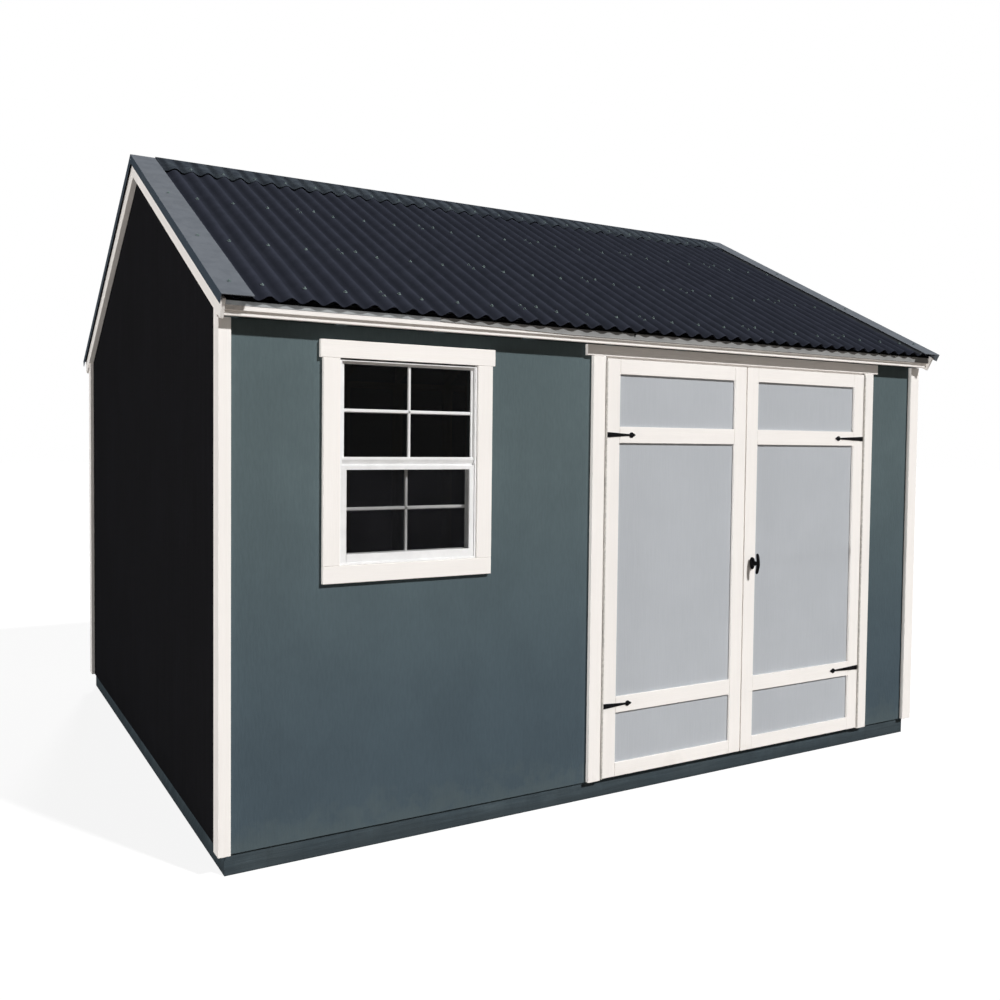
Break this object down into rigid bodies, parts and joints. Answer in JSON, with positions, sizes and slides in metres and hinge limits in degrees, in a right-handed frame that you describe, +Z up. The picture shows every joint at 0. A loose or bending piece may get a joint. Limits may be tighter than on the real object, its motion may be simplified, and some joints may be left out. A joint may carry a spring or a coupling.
{
  "type": "garden shed",
  "caption": "Wooden garden shed with a corrugated gable roof, a sash window and double doors on long hinges.",
  "frame": {"origin": "centre of the footprint at ground level, under the floor frame", "axes": "+Z up, -Y towards the front with the doors, +X to the right seen from the front"},
  "size_m": [3.694, 3.258, 2.8558],
  "materials": {
    "siding_paint": "satin painted",
    "gable_paint": "satin painted",
    "trim_paint": "satin painted",
    "door_paint": "satin painted",
    "frame_lumber": "sawn softwood",
    "floor_sheet": "plywood",
    "roof_coating": "satin",
    "flashing": "satin",
    "window_white": "white coated",
    "pane": "clear",
    "black_iron": "satin black",
    "hinge_steel": "zinc plated"
  },
  "bodies": {
    "root": {"floor_rims": "siding_paint", "floor_joists": "frame_lumber", "floor_deck": "floor_sheet", "front_siding_left": "siding_paint", "front_siding_right": "siding_paint", "front_siding_head": "siding_paint", "back_siding": "siding_paint", "left_gable_siding": "gable_paint", "right_gable_siding": "gable_paint", "front_studs": "frame_lumber", "back_studs": "frame_lumber", "gable_studs": "frame_lumber", "wall_plates": "frame_lumber", "window_framing": "frame_lumber", "rafters": "frame_lumber", "ridge_board": "frame_lumber", "collar_ties": "frame_lumber", "eave_blocks": "frame_lumber", "purlins": "frame_lumber", "front_roof_sheets": "roof_coating", "back_roof_sheets": "roof_coating", "ridge_cap": "roof_coating", "verge_flashings": "flashing", "drip_edges": "flashing", "inner_eave_boards": "trim_paint", "outer_eave_boards": "trim_paint", "rake_boards": "trim_paint", "corner_boards": "trim_paint", "side_corner_boards": "trim_paint", "door_trim": "trim_paint", "window_trim": "trim_paint", "window_frame": "window_white", "window_sashes": "window_white", "window_glass": "pane", "jamb_hinges": "hinge_steel"},
    "left_door": {"left_door_panel": "door_paint", "left_door_boards": "trim_paint", "left_door_ledges": "frame_lumber", "left_door_hinges": "black_iron"},
    "right_door": {"right_door_panel": "door_paint", "right_door_boards": "trim_paint", "right_door_ledges": "frame_lumber", "right_door_hinges": "black_iron", "handle_plate": "black_iron"},
    "door_handle": {"t_handle": "black_iron"}
  },
  "joints": [
    {"name": "left_door_swing", "type": "hinge", "parent": "root", "child": "left_door", "pos_m": [-0.205, -1.528, 0.981], "axis": [0, 0, -1], "range_deg": [0, 170]},
    {"name": "right_door_swing", "type": "hinge", "parent": "root", "child": "right_door", "pos_m": [1.407, -1.528, 0.981], "axis": [0, 0, 1], "range_deg": [0, 170]},
    {"name": "handle_turn", "type": "hinge", "parent": "right_door", "child": "door_handle", "pos_m": [0.652, -1.562, 0.967], "axis": [0, -1, 0], "range_deg": [0, 90]}
  ]
}
